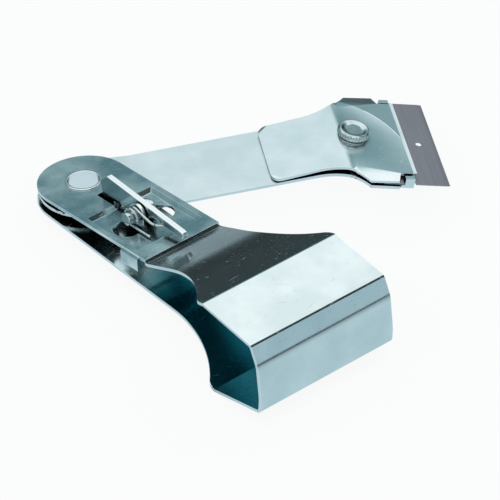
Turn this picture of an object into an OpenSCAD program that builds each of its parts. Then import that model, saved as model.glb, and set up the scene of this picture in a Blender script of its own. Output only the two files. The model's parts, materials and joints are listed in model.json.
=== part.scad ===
// Folding razor blade scraper in plated sheet steel.
// A folded strip is both handle and blade sheath. The blade arm turns on a hollow eyelet at the
// handle's round end and swings into the wide pocket at the other end. A rocking latch lever on
// the lock plate drops a tooth into the arm. A thumb screw clamps the single edge blade.
// The eyelet's axis is Z, the handle runs along +X, and z = 0 is the underside of the lower leaf.

/* [Sheet] */
// Gauge of the handle strip
strip_t = 0.85; // [0.7:0.05:1]
// Gauge of the lock plate
plate_t = 0.85; // [0.7:0.05:1]
// Gauge of the arm plate
arm_t = 0.9; // [0.8:0.05:1.1]
// Gauge of the clamp plate
clamp_t = 0.8; // [0.7:0.05:1]

/* [Handle] */
// Width of both leaves and of the lock plate
handle_w = 25.4; // [24:0.2:27]
// Eyelet axis to the free end of the lock plate
plate_len = 42; // [41:0.5:44]
// Slope of the lock plate, rising towards the pocket
plate_tilt = 5.5; // [5:0.1:6]
// Length of the strip's upper leaf that lies under the lock plate
leaf_lap = 4.6; // [3.5:0.1:5]

/* [Pocket] */
// Room at each side of the blade in the pocket
pocket_side = 3.4; // [3:0.1:5]
// Eyelet axis to the pocket's top ridge
ridge_u = 77.5; // [76:0.5:79]
// Height of the top ridge
ridge_h = 22.1; // [21:0.1:24]
// Fall of the top face from its ridge to the front
top_fall = 2.1; // [1.5:0.1:3]
// Setback of the front top edge from the front wall
top_setback = 4; // [3:0.25:5]
// Height of the bend band below the front top edge
band_h = 5.5; // [4:0.25:7]
// Setback of the band's lower edge from the front wall
band_setback = 1.3; // [0.8:0.1:2]
// Bulge of the ramp over a straight line to the ridge
ramp_bulge = 1.1; // [0.6:0.1:1.6]
// Eyelet axis to the end of the flat lower leaf
floor_len = 55.9; // [52:0.5:58]
// Eyelet axis to the bottom ridge
low_ridge_u = 82; // [80:0.5:84]
// Depth of the bottom ridge below the lower leaf
low_ridge_drop = 4.3; // [3:0.1:5]
// Rise of the bottom face from its ridge to the front
bottom_rise = 4.3; // [3:0.1:4.8]
// Inward slant of the front wall below the blade
wall_toe = 0.3; // [0:0.1:0.6]
// Radius of the flare from handle to pocket
flare_r = 32; // [28:1:36]
// Radius of the shoulder at the flare's wide end
shoulder_r = 4; // [3:0.5:5]
// Room between the swinging blade corner and the front wall
swing_gap = 0.4; // [0.3:0.1:0.8]

/* [Bends] */
// Outer radius of the strip's tight folds
fold_r = 1.8; // [1.6:0.1:2.4]
// Radius at the foot of the ramp
ramp_foot_r = 3; // [2:0.5:4]
// Radius of the ramp's bulge
ramp_r = 90; // [70:5:110]
// Radius of the front wall's upper bend
band_r = 7; // [5:0.5:9]
// Radius of the front wall's bend at the blade
wall_r = 20; // [14:1:24]
// Radius where the lower leaf turns down
floor_r = 24; // [18:1:30]
// Radius of the arm's bend near its root
arm_rise_r = 12; // [8:1:16]
// Radius of the bends at the blade head
arm_bend_r = 3; // [2.4:0.1:3.4]
// Outer radius of the side stop's bend
stop_bend_r = 1.4; // [1.1:0.1:1.6]

/* [Pivot] */
// Radius of the hole through the eyelet
eyelet_bore_r = 4.3; // [4:0.05:4.5]
// Wall of the eyelet tube
eyelet_wall = 0.4; // [0.3:0.05:0.6]
// Thickness of the eyelet's rolled rims
rim_t = 0.3; // [0.2:0.05:0.4]
// Width of the eyelet's rolled rims
rim_w = 0.35; // [0.3:0.05:0.6]
// Running clearance on the eyelet tube
pivot_clear = 0.05; // [0.03:0.01:0.08]
// Height of the spacer bush
spacer_h = 1.55; // [1.4:0.05:1.8]
// Wall of the spacer bush
spacer_wall = 1.6; // [1.2:0.1:2]
// Thickness of the thrust washer
washer_t = 0.3; // [0.2:0.05:0.4]
// Wall of the thrust washer
washer_wall = 2.6; // [2:0.1:3.2]
// Thickness of the cupped spring washer
cup_t = 0.3; // [0.25:0.05:0.35]
// Wall of the cupped spring washer
cup_wall = 3.2; // [2.6:0.1:3.6]
// Room for the cupped washer between arm and lock plate
cup_room = 1.52; // [1.45:0.05:1.7]

/* [Arm] */
// Angle between handle and arm as stored
arm_open = 60; // [50:1:70]
// Inset of the arm's edges from the handle's edges
arm_inset = 0.4; // [0.3:0.05:0.7]
// Eyelet axis to the blade's edge
arm_reach = 97.4; // [96:0.2:99]
// Eyelet axis to the bend where the arm starts to rise
rise_s = 14; // [13.5:0.5:18]
// Slope of the arm's shank
arm_rise = 5.7; // [5.2:0.1:6]
// Downward slope of the blade head
head_drop = 10.7; // [9:0.1:12]
// Width over the ears
ear_w = 38.9; // [38.4:0.1:40]
// Length of the ears along the arm
ear_len = 8.7; // [8:0.1:9.4]
// Slant of the ears' front ends
ear_nip = 0.9; // [0.6:0.1:1.2]
// Radius of the flare from shank to ears
ear_flare_r = 16; // [14.5:0.5:20]
// Width of the clamping lip
lip_w = 32.8; // [31:0.1:33]
// Length of the lip ahead of the ears
lip_len = 4.5; // [4.2:0.1:5]
// Width of the corner tabs that hold the blade
tab_w = 1.5; // [1.2:0.1:1.6]
// Length of the corner tabs
tab_len = 2.6; // [2.2:0.1:2.8]
// Height of the corner tabs over the arm plate
tab_h = 2; // [1.4:0.1:2.6]

/* [Blade] */
// Length of the cutting edge
blade_w = 38.1; // [37.8:0.1:38.4]
// Depth of the blade from spine to edge
blade_depth = 18.6; // [18.2:0.1:18.8]
// Thickness of the blade
blade_t = 0.25; // [0.2:0.05:0.3]
// Blade that shows ahead of the lip
blade_show = 8.6; // [8:0.1:9.2]
// Thickness over the folded spine
spine_t = 1.1; // [0.95:0.05:1.2]
// Depth of the spine
spine_d = 3.2; // [2.6:0.1:3.6]
// Length of the spine
spine_l = 35; // [33:0.5:36]
// Width of the ground bevel at the edge
bevel_w = 1.3; // [0.8:0.1:2]
// Radius of the small hole in the blade
blade_hole_r = 0.85; // [0.6:0.05:1.1]
// Screw's hole to the blade's spine
spine_gap = 3.15; // [2.8:0.05:3.4]
// Small hole to the lip
blade_hole_s = 3.9; // [3:0.1:4.8]
// Clearance of the blade's notches around the corner tabs
notch_clear = 0.35; // [0.25:0.05:0.5]

/* [Clamp] */
// Length of the clamp plate behind the bend line
clamp_back = 21.6; // [20:0.2:23]
// Radius of the clamp plate's rear corners
clamp_corner_r = 3; // [2:0.5:4]
// Clearance between the clamp plate and what it lies on
clamp_clear = 0.06; // [0.04:0.01:0.1]
// Width of the hook at the clamp plate's rear end
hook_w = 8; // [6:0.5:10]
// Clearance of the hook in its slot
hook_clear = 0.3; // [0.25:0.05:0.4]
// Length of the hook's toe under the arm plate
hook_toe = 1.6; // [1.2:0.1:2]
// Arm's bend line to the clamp plate's own bend
bend_back = 0.9; // [0.4:0.1:1]
// Downward turn of the clamp plate's ears
ear_turn = 8; // [5:0.5:9]
// Arm's edge to the rear end of the ears' crease
crease_out = 1.3; // [0.8:0.1:1.8]

/* [Screw] */
// Bend line to the screw's axis
screw_s = 2.35; // [2.2:0.05:2.6]
// Radius of the screw's shank
shank_r = 1.75; // [1.6:0.05:1.8]
// Room round the shank for the clamp plate's tilt
shank_clear = 0.3; // [0.25:0.05:0.35]
// Radius of the knurled head
knob_r = 4.5; // [4:0.1:5]
// Height of the knurled head
knob_h = 2.1; // [2:0.1:2.6]
// Radius of the collar under the head
collar_r = 3.4; // [3:0.1:3.8]
// Height of the collar
collar_h = 0.3; // [0.2:0.05:0.6]
// Number of flutes in the knurl
knurl_n = 32; // [24:2:36]
// Radius of one flute
knurl_r = 0.32; // [0.2:0.02:0.36]
// Depth of the dished top of the head
dish_h = 0.5; // [0.3:0.1:0.7]
// Thickness of the washer under the collar
screw_washer_t = 0.35; // [0.3:0.05:0.5]
// Wall of the washer round the shank's hole
screw_washer_wall = 2.1; // [1.8:0.1:2.3]
// Height of the nut bush below the arm plate
bush_h = 1.6; // [1.2:0.1:2]
// Wall of the nut bush
bush_wall = 1.5; // [1.2:0.1:1.8]
// Shank that stands out below the nut bush
shank_end = 0.6; // [0.4:0.1:1]

/* [Latch] */
// Depth of the lock plate's pressed channel
channel_d = 1; // [0.8:0.05:1.2]
// Eyelet axis to the start of the channel
channel_u0 = 15.4; // [14.8:0.1:16]
// Eyelet axis to the end of the channel
channel_u1 = 36.8; // [36.4:0.1:37]
// Width of the rail at each edge of the channel
rail_w = 1.7; // [1.4:0.1:2.2]
// Eyelet axis to the latch pin
pin_u = 25.5; // [25:0.1:26]
// Height of the latch pin over the channel floor
pin_h = 3.1; // [3:0.05:3.3]
// Radius of the latch pin
pin_r = 1.4; // [1.2:0.05:1.5]
// Radius of the pin's head
pin_head_r = 2.25; // [2:0.05:2.5]
// Radius of the pin's peened end
pin_peen_r = 1.8; // [1.6:0.05:2]
// Thickness of both ends of the pin
pin_head_t = 0.85; // [0.6:0.05:1]
// Running clearance of the lever on its pin
pin_clear = 0.05; // [0.03:0.01:0.08]
// Radius of the ears' round tops
lug_r = 2.9; // [2.6:0.1:3.1]
// Radius of the lanced openings beside the lever
window_r = 4; // [3.6:0.1:4.1]
// Lead of the lanced openings ahead of the pin
window_lead = 0.4; // [0.2:0.1:1]
// Thickness of the latch lever
lever_t = 1.6; // [1.4:0.1:1.8]
// Clearance at each side of the lever
lever_clear = 0.35; // [0.3:0.05:0.45]
// Height of the lever's top over its pin
lever_top = 3.25; // [3.1:0.05:3.6]
// Eyelet axis to the lever's thumb end
lever_end_u = 43.3; // [42.8:0.1:43.8]
// Height of the thumb bar
thumb_h = 2; // [1.8:0.1:2.2]
// Length of the tooth along the handle
tooth_len = 5.1; // [4.6:0.1:5.4]
// Eyelet axis to the tooth
tooth_u = 9.2; // [9:0.1:9.6]
// Tooth to the front end of the lever's top
lever_lean = 1.9; // [1.2:0.1:2.4]
// Reach of the lever's nose ahead of its tooth
nose_len = 0.9; // [0.6:0.1:1.4]
// Height of the nose over the pin
nose_h = 0.7; // [0.3:0.1:1.2]
// Fall of the lever's top towards either end
lever_dip = 0.35; // [0.2:0.05:0.5]
// Radius of the lever's corners
lever_r = 0.8; // [0.6:0.1:1]
// Room at each end of the tooth in its slots
slot_room = 1; // [0.8:0.1:1.2]
// Width of the lock plate's slot
slot_w = 4; // [3:0.2:4.6]
// Clearance between tooth and arm
tooth_clear = 0.3; // [0.2:0.05:0.4]
// Length of the side stop on the lock plate
stop_len = 7; // [6:0.5:8]
// Eyelet axis to the side stop
stop_u = 32.8; // [32:0.2:33.4]
// Depth of the side stop below the lock plate's top
stop_h = 4.3; // [4:0.1:4.4]

/* [Latch spring] */
// Diameter of the spring wire
wire_d = 0.7; // [0.6:0.05:0.75]
// Mean radius of the curls
curl_r = 2.2; // [2.15:0.05:2.3]
// Rise of one curl along the pin
curl_pitch = 1.15; // [1.12:0.01:1.25]
// Whole curls between the two legs, besides the half curl
curl_n = 1; // [1:1:3]
// Pin to the ends of the spring's legs
leg_len = 8.4; // [7.6:0.1:8.8]
// Length of the bend at the end of each leg
leg_bend = 1.6; // [1.2:0.1:2]
// Clearance of the lower leg over the channel floor
leg_clear = 0.15; // [0.1:0.05:0.2]

/* [Hidden] */
$fn = 64;

steel = "#b6c9ce";
bright = "#d3dde0";
blade_grey = "#77757c";

far = 300;
seam = 0.01;
bend_steps = 6;

// Heights of the pivot stack, all on the eyelet's axis
tube_r = eyelet_bore_r + eyelet_wall;
rim_r = tube_r + rim_w;
ring_r = tube_r + pivot_clear;
spacer_top = strip_t + spacer_h;
arm_under = spacer_top + washer_t;
arm_top = arm_under + arm_t;
plate_under = arm_top + cup_room;
plate_top = plate_under + plate_t / cos(plate_tilt);
plate_slope = tan(plate_tilt);

// Arm stations along s, from the eyelet's axis
arm_w = handle_w - 2 * arm_inset;
head_k = cos(head_drop);
screw_x = screw_s / head_k;
back_x = screw_x + shank_r + shank_clear + spine_gap + blade_t;
edge_x = back_x + blade_depth;
bend_s = arm_reach - edge_x * head_k;
bend_z = arm_top + (bend_s - rise_s) * tan(arm_rise);
lip_s = arm_reach - blade_show;
ear_s1 = lip_s - lip_len;
ear_s0 = ear_s1 - ear_len;
clamp_s = bend_s - clamp_back;
blade_z = (spine_t - blade_t) / 2;
lip_x = (lip_s - bend_s) / head_k;
ear_x1 = (ear_s1 - bend_s) / head_k;
tab_x = ear_x1 + 2 * notch_clear;
tab_y = blade_w / 2 - notch_clear - tab_w;

// The clamp plate's ears are turned down along a slanting crease and bear on the spine's ends
crease_y = arm_w / 2 + crease_out;
crease_slant = atan2(lip_w / 2 - crease_y, ear_x1);
spine_out = (spine_l / 2 - crease_y) * cos(crease_slant) - (back_x - blade_t) * sin(crease_slant);
seat_h = spine_t + clamp_clear + spine_out * tan(ear_turn);

// Pocket stations along u
blade_edge_z = bend_z - (arm_reach - bend_s) * tan(head_drop);
corner_r = norm([arm_reach, blade_w / 2]);
wall_u = corner_r + swing_gap + strip_t;
pocket_w = blade_w + 2 * pocket_side;
band_z = ridge_h - top_fall - band_h;

// Latch stations
pin_z = plate_top + pin_u * plate_slope - channel_d + pin_h;
lever_z = pin_z + lever_top;
lever_gap = lever_t / 2 + lever_clear;
thumb_under = lever_z - thumb_h;

function plate_z(u) = plate_top + u * plate_slope;
function floor_z(u) = plate_z(u) - channel_d;
function under_z(u) = plate_under + u * plate_slope;
function head_at(x, h) = [bend_s + x * cos(head_drop) + h * sin(head_drop),
                          bend_z - x * sin(head_drop) + h * cos(head_drop)];
function shank_at(s, h) = [s - h * sin(arm_rise),
                           arm_top + (s - rise_s) * tan(arm_rise) + h * cos(arm_rise)];

// Bent sheet in profile: rounded corners, then the same path set off by the gauge to its right
function unit(v) = v / norm(v);
function turn(a, b) = a.x * b.y - a.y * b.x;
function corner(p, q, r, radius) =
  let (a = unit(p - q), b = unit(r - q), half = acos(a * b) / 2)
  let (centre = q + unit(a + b) * radius / sin(half))
  let (from = q + a * radius / tan(half) - centre, sweep = 180 - 2 * half)
  let (way = turn(a, b) > 0 ? -1 : 1)
  [for (i = [0 : bend_steps])
    let (ang = way * sweep * i / bend_steps)
    centre + [from.x * cos(ang) - from.y * sin(ang), from.x * sin(ang) + from.y * cos(ang)]];
function rounded(pts, radii) =
  let (n = len(pts))
  [for (i = [0 : n - 1])
    each (radii[i] == 0 ? [pts[i]]
      : corner(pts[(i + n - 1) % n], pts[i], pts[(i + 1) % n], radii[i]))];
function right_of(a, b) = let (d = unit(b - a)) [d.y, -d.x];
function set_off(path, t) =
  [for (i = [0 : len(path) - 1])
    let (last = len(path) - 1)
    let (before = right_of(path[max(i - 1, 0)], path[max(i, 1)]))
    let (after = right_of(path[min(i, last - 1)], path[min(i + 1, last)]))
    path[i] + t * (before + after) / (1 + before * after)];
function back_to_front(list) = [for (i = [len(list) - 1 : -1 : 0]) list[i]];
function sheet(path, t) = concat(path, back_to_front(set_off(path, t)));

// Lays a profile of (u, z) points across the handle or the arm
module across(w) rotate([90, 0, 0]) linear_extrude(w, center = true) children();
module bent_sheet(path, t, w) across(w) polygon(sheet(path, t));
module both_sides() {
  children();
  mirror([0, 1, 0]) children();
}
module ring(outer, inner, h) difference() {
  cylinder(r = outer, h = h);
  translate([0, 0, -seam]) cylinder(r = inner, h = h + 2 * seam);
}
module on_plate() translate([0, 0, plate_top]) rotate([0, -plate_tilt, 0]) children();
module on_arm() rotate([0, 0, arm_open]) children();
module on_head() on_arm() translate([bend_s, 0, bend_z]) rotate([0, head_drop, 0]) children();
module on_screw() on_head() translate([screw_x, 0, 0]) children();

// Plan of the strip: round tail, straight handle, hollow flare and round shoulder to the pocket
module strip_plan(full_u) {
  low = handle_w / 2;
  high = pocket_w / 2;
  hollow = [full_u - sqrt(pow(flare_r + shoulder_r, 2) - pow(low + flare_r - high + shoulder_r, 2)),
            low + flare_r];
  knee = [full_u, high - shoulder_r];
  touch = hollow + (knee - hollow) * flare_r / (flare_r + shoulder_r);
  circle(r = low);
  translate([0, -low]) square([hollow.x + seam, handle_w]);
  difference() {
    translate([hollow.x, -high]) square([wall_u + strip_t - hollow.x, pocket_w]);
    both_sides() {
      translate(hollow) circle(r = flare_r);
      difference() {
        polygon([touch, [touch.x, high + 1], [knee.x, high + 1], knee]);
        translate(knee) circle(r = shoulder_r);
      }
    }
  }
}

// The strip runs from under the lock plate up the ramp, round the pocket and back along the floor.
// Its lapped end is cut narrower, to pass the bend of the side stop
module handle_strip() color(steel) {
  leaf_u = plate_len - leaf_lap;
  ramp_u = plate_len + strip_t;
  ramp_foot = [ramp_u, under_z(ramp_u)];
  ridge = [ridge_u, ridge_h];
  crown = (ramp_foot + ridge) / 2 + [0, ramp_bulge];
  path = rounded(
    [[leaf_u, under_z(leaf_u)], ramp_foot, crown, ridge,
     [wall_u - top_setback, ridge_h - top_fall], [wall_u - band_setback, band_z],
     [wall_u, blade_edge_z], [wall_u - wall_toe, bottom_rise - low_ridge_drop],
     [low_ridge_u, -low_ridge_drop], [floor_len, 0], [-handle_w, 0]],
    [0, ramp_foot_r, ramp_r, fold_r, fold_r, band_r, wall_r, fold_r, fold_r, floor_r, 0]);
  split_z = band_z / 2;
  difference() {
    union() {
      intersection() {
        bent_sheet(path, strip_t, far);
        translate([0, 0, split_z]) linear_extrude(far) strip_plan(ridge_u - shoulder_r / 5);
      }
      intersection() {
        bent_sheet(path, strip_t, far);
        translate([0, 0, split_z - far]) linear_extrude(far) strip_plan(low_ridge_u - shoulder_r / 8);
      }
    }
    translate([0, 0, -far / 2]) cylinder(r = tube_r, h = far / 2 + split_z);
    both_sides() translate([0, handle_w / 2 - stop_bend_r, split_z]) cube([plate_len, handle_w, far]);
  }
}

// Sloping walled hollow, its mouth at z = 0 and its floor at -channel_d
module channel_block() {
  x0 = channel_u0 / cos(plate_tilt);
  x1 = channel_u1 / cos(plate_tilt);
  half = handle_w / 2 - rail_w;
  intersection() {
    across(handle_w)
      polygon([[x0, 0], [x1, 0], [x1 - channel_d, -channel_d], [x0 + channel_d, -channel_d]]);
    translate([x0, 0, 0]) rotate([90, 0, 90]) linear_extrude(x1 - x0)
      polygon([[-half, 0], [half, 0], [half - channel_d, -channel_d], [channel_d - half, -channel_d]]);
  }
}

// Upper plate: round tail, pressed channel, two lanced ears for the pin, slot and side stop
module lock_plate() color(steel) {
  window = [pin_u + window_lead, lever_gap + plate_t / 2 + window_r];
  stop_y = -handle_w / 2 - plate_t;
  stop_path = rounded([[rail_w - handle_w / 2, 0], [stop_y, 0], [stop_y, -stop_h]],
                      [0, stop_bend_r, 0]);
  difference() {
    union() {
      on_plate() {
        difference() {
          union() {
            translate([0, 0, -plate_t]) linear_extrude(plate_t) {
              circle(d = handle_w);
              translate([0, -handle_w / 2]) square([plate_len / cos(plate_tilt), handle_w]);
            }
            translate([0, 0, -plate_t]) channel_block();
          }
          channel_block();
          both_sides() translate([window.x, window.y, -far / 2]) cylinder(r = window_r, h = far);
        }
        translate([stop_u, 0, 0]) rotate([90, 0, 90]) linear_extrude(stop_len)
          polygon(sheet(back_to_front(stop_path), plate_t));
      }
      both_sides() translate([pin_u, lever_gap + plate_t / 2, pin_z]) across(plate_t) {
        circle(r = lug_r);
        translate([-lug_r, -pin_h - plate_t / 2]) square([2 * lug_r, pin_h + plate_t / 2]);
      }
    }
    cylinder(r = tube_r, h = far, center = true);
    translate([pin_u, 0, pin_z]) across(far) circle(r = pin_r);
    translate([tooth_u - slot_room, -slot_w / 2, 0])
      cube([tooth_len + 3 * slot_room, slot_w, lever_z]);
  }
}

// Hollow rivet with rolled rims, the upper one seated on the sloping lock plate
module pivot_eyelet() color(bright) difference() {
  union() {
    translate([0, 0, -rim_t]) cylinder(r = rim_r, h = rim_t);
    intersection() {
      translate([0, 0, -rim_t]) cylinder(r = tube_r, h = far);
      on_plate() translate([0, 0, rim_t - far]) cylinder(r = rim_r * 2, h = far);
    }
    on_plate() cylinder(r = rim_r, h = rim_t);
  }
  cylinder(r = eyelet_bore_r, h = far, center = true);
}

module spacer_bush() color(bright) translate([0, 0, strip_t])
  ring(ring_r + spacer_wall, ring_r, spacer_h);

module thrust_washer() color(bright) translate([0, 0, spacer_top])
  ring(ring_r + washer_wall, ring_r, washer_t);

// Cupped washer: its outer edge bears on the arm, its inner edge on the lock plate
module spring_washer() color(bright) {
  rise = cup_room - rim_r * plate_slope - cup_t - pivot_clear;
  translate([0, 0, arm_top + pivot_clear]) rotate_extrude()
    polygon([[ring_r, rise], [ring_r + cup_wall, 0], [ring_r + cup_wall, cup_t], [ring_r, rise + cup_t]]);
}

// Headed pin through both ears and the lever, long enough on one side to carry the spring
module latch_pin() color(bright) {
  grip = lever_gap + plate_t;
  tail = wire_d - curl_end_y;
  translate([pin_u, 0, pin_z]) rotate([-90, 0, 0]) {
    translate([0, 0, -tail]) cylinder(r = pin_r, h = tail + grip);
    translate([0, 0, grip]) cylinder(r = pin_head_r, h = pin_head_t);
    translate([0, 0, -tail - pin_head_t]) cylinder(r = pin_peen_r, h = pin_head_t);
  }
}

// Torsion spring: upper leg hooks under the thumb bar, lower leg bears on the channel floor
wire_r = wire_d / 2;
curl_y = -lever_gap - plate_t - wire_d;
curl_sweep = 180 + 360 * curl_n;
curl_end_y = curl_y - curl_pitch * curl_sweep / 360;
leg_u = pin_u + leg_len;
leg_z = floor_z(leg_u) + wire_r + leg_clear;
hook_z = thumb_under - lever_dip - wire_r;
curl_rings = 8 * (curl_n + 0.5);
curl_path = [for (i = [0 : curl_rings])
  let (ang = 90 + curl_sweep * i / curl_rings)
  [pin_u + curl_r * cos(ang), curl_y - curl_pitch * (ang - 90) / 360, pin_z + curl_r * sin(ang)]];
spring_path = concat(
  [[leg_u + leg_bend, lever_t, hook_z], [leg_u + leg_bend, lever_t / 2, hook_z],
   [leg_u, -lever_t, hook_z], [leg_u - leg_bend, curl_y + wire_r, hook_z]],
  curl_path,
  [[leg_u - leg_bend, curl_end_y, leg_z], [leg_u, curl_end_y, leg_z + leg_bend * plate_slope]]);
curl_gap = min([for (i = [0 : curl_rings]) for (j = [i + 4 : 1 : curl_rings])
  norm(curl_path[i] - curl_path[j])]) - wire_d;
echo(latch_spring_least_gap = curl_gap);

function along(path, i) = unit(path[min(i + 1, len(path) - 1)] - path[max(i - 1, 0)]);
module swept_wire(path, r, sides) {
  rings = len(path);
  points = [for (i = [0 : rings - 1])
    let (d = along(path, i))
    let (a = unit(cross(d, abs(d.y) < 0.9 ? [0, 1, 0] : [1, 0, 0])), b = cross(d, a))
    for (k = [0 : sides - 1]) path[i] + r * (a * cos(360 * k / sides) + b * sin(360 * k / sides))];
  walls = [for (i = [0 : rings - 2]) for (k = [0 : sides - 1])
    let (n = (k + 1) % sides, p = i * sides, q = p + sides)
    each [[p + k, q + k, q + n], [p + k, q + n, p + n]]];
  lids = [for (k = [1 : sides - 2])
    each [[0, k, k + 1], [(rings - 1) * sides, (rings - 1) * sides + k + 1, (rings - 1) * sides + k]]];
  polyhedron(points, concat(walls, lids));
}
module latch_spring() color(bright) swept_wire(spring_path, wire_r, 6);

// Rocking lever: thumb bar on one side of the pin, deep cheek and tooth on the other
module latch_lever() color(bright) {
  tip_z = arm_top + tooth_clear;
  cheek_z = plate_z(channel_u0) + lever_clear;
  tooth_end = tooth_u + tooth_len;
  outline = rounded(
    [[tooth_u + lever_lean, lever_z + lever_dip], [lever_end_u, lever_z - lever_dip],
     [lever_end_u, thumb_under - lever_dip], [pin_u + lug_r + lever_t, thumb_under],
     [pin_u + pin_head_r, pin_z - pin_h + 2 * lever_clear], [tooth_end, cheek_z],
     [tooth_end, tip_z], [tooth_u, tip_z], [tooth_u, cheek_z], [tooth_u - nose_len, pin_z + nose_h]],
    [lever_r, lever_r, lever_r, 2 * lever_r, lever_r, lever_r / 2, lever_r / 2, lever_r / 2, lever_r,
     lever_r]);
  across(lever_t) difference() {
    polygon(outline);
    translate([pin_u, pin_z]) circle(r = pin_r + pin_clear);
  }
}

// Plan of the arm and of the clamp plate: shank, hollow flare, ears and lip
module head_plan(from_s) {
  low = arm_w / 2;
  high = ear_w / 2;
  flare_s = ear_s0 - sqrt(pow(ear_flare_r, 2) - pow(ear_flare_r - high + low, 2));
  translate([from_s, -low]) square([ear_s0 - from_s, arm_w]);
  difference() {
    translate([flare_s, -high]) square([ear_s0 - flare_s, ear_w]);
    both_sides() translate([flare_s, low + ear_flare_r]) circle(r = ear_flare_r);
  }
  both_sides() polygon([[ear_s0 - seam, 0], [ear_s0 - seam, high], [ear_s1 - ear_nip, high],
                        [ear_s1, lip_w / 2], [lip_s, lip_w / 2], [lip_s, 0]]);
}

// Round tail on the eyelet, shank, bend and head, with slots for the tooth and the clamp's hook
module arm_plate() color(steel) {
  path = rounded([[-handle_w, arm_top], [rise_s, arm_top], head_at(0, 0), head_at(edge_x, 0)],
                 [0, arm_rise_r, arm_bend_r, 0]);
  slot_s = tooth_u - slot_room;
  hook_s = clamp_s + clamp_t / 2;
  difference() {
    union() {
      on_arm() intersection() {
        bent_sheet(path, arm_t, far);
        linear_extrude(far, center = true) {
          circle(d = arm_w);
          head_plan(0);
        }
      }
      on_head() both_sides() {
        translate([tab_x, tab_y, -arm_t]) cube([tab_len, tab_w, arm_t + tab_h]);
        translate([ear_x1 - lip_len, 0, -arm_t])
          cube([tab_x + tab_len - ear_x1 + lip_len, tab_y + tab_w, arm_t]);
      }
    }
    on_arm() {
      cylinder(r = ring_r, h = far, center = true);
      translate([slot_s, -lever_gap, 0])
        cube([tooth_len + 2 * slot_room, 2 * lever_gap, 2 * arm_top]);
      translate([-arm_w, -lever_gap, 0]) cube([arm_w - slot_s, 2 * lever_gap, 2 * arm_top]);
      translate([hook_s - hook_clear, -hook_w / 2 - hook_clear, 0])
        cube([clamp_t + 2 * hook_clear, hook_w + 2 * hook_clear, 2 * bend_z]);
    }
    on_screw() {
      cylinder(r = shank_r + shank_clear + bush_wall / 2, h = far, center = true);
      translate([0, 0, -arm_t - bush_h]) cylinder(r = shank_r + shank_clear + bush_wall, h = bush_h);
    }
  }
}

// Nut bush clinched into the arm plate under the thumb screw
module screw_bush() color(bright) on_screw() {
  bore = shank_r + shank_clear;
  translate([0, 0, -arm_t - bush_h]) ring(bore + bush_wall, bore, bush_h);
  translate([0, 0, -arm_t - seam]) ring(bore + bush_wall / 2, bore, arm_t + seam);
}

// Single edge blade with a ground bevel, end notches round the corner tabs and a small hole
module razor_blade() color(blade_grey) on_head() difference() {
  translate([0, 0, blade_z]) across(blade_w)
    polygon([[back_x, 0], [edge_x - bevel_w, 0], [edge_x, blade_t / 2 - seam],
             [edge_x, blade_t / 2 + seam], [edge_x - bevel_w, blade_t], [back_x, blade_t]]);
  both_sides() translate([tab_x - notch_clear, tab_y - notch_clear, -far / 2])
    cube([tab_len + 2 * notch_clear, blade_w, far]);
  translate([lip_x + blade_hole_s, 0, -far / 2]) cylinder(r = blade_hole_r, h = far);
}

// Folded strip along the back of the blade
module blade_spine() color(steel) on_head() across(spine_l) difference() {
  translate([back_x - blade_t, 0]) square([spine_d + blade_t, spine_t]);
  translate([back_x, blade_z]) square([spine_d + blade_t, blade_t]);
}

// Blank of the clamp plate: rises from the shank to its own bend, then runs flat over the head
module clamp_blank() {
  path = rounded(
    [shank_at(clamp_s - clamp_corner_r, clamp_clear), head_at(-bend_back, seat_h), head_at(edge_x, seat_h)],
    [0, arm_bend_r, 0]);
  intersection() {
    across(far) polygon(sheet(back_to_front(path), clamp_t));
    linear_extrude(far, center = true) difference() {
      head_plan(clamp_s);
      both_sides() translate([clamp_s, arm_w / 2 - clamp_corner_r]) difference() {
        translate([-1, 0]) square([clamp_corner_r + 1, clamp_corner_r + 1]);
        translate([clamp_corner_r, 0]) circle(r = clamp_corner_r);
      }
    }
  }
}
// Turns what lies beyond the crease down about it, in the head's own frame
module at_crease(turn_down) translate([0, crease_y, seat_h + clamp_t]) rotate([0, 0, crease_slant])
  rotate([-turn_down, 0, 0]) children();
module beyond_crease() at_crease(0) translate([bend_back, 0, -far / 2]) cube(far);

// Blank with its ears turned down and a hook at its rear end
module clamp_plate() color(steel) {
  hook_s = clamp_s + clamp_t / 2;
  root = shank_at(hook_s, clamp_clear + clamp_t / 2);
  toe_z = shank_at(hook_s, 0).y - arm_t - hook_clear;
  difference() {
    union() {
      difference() {
        on_arm() clamp_blank();
        on_head() both_sides() beyond_crease();
      }
      on_head() both_sides() at_crease(ear_turn) rotate([0, 0, -crease_slant])
        translate([0, -crease_y, -seat_h - clamp_t]) intersection() {
          rotate([0, -head_drop, 0]) translate([-bend_s, 0, -bend_z]) clamp_blank();
          beyond_crease();
        }
      on_arm() translate([hook_s, -hook_w / 2, toe_z - clamp_t])
        cube([clamp_t, hook_w, root.y - toe_z + clamp_t]);
      on_arm() translate([hook_s - hook_toe, -hook_w / 2, toe_z - clamp_t])
        cube([hook_toe + seam, hook_w, clamp_t]);
    }
    on_screw() cylinder(r = shank_r + shank_clear, h = far, center = true);
  }
}

screw_washer_z = seat_h + clamp_t;
collar_z = screw_washer_z + screw_washer_t + pivot_clear;

module screw_washer() color(bright) on_screw() translate([0, 0, screw_washer_z])
  ring(shank_r + shank_clear + screw_washer_wall, shank_r + pivot_clear * 2, screw_washer_t);

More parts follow.
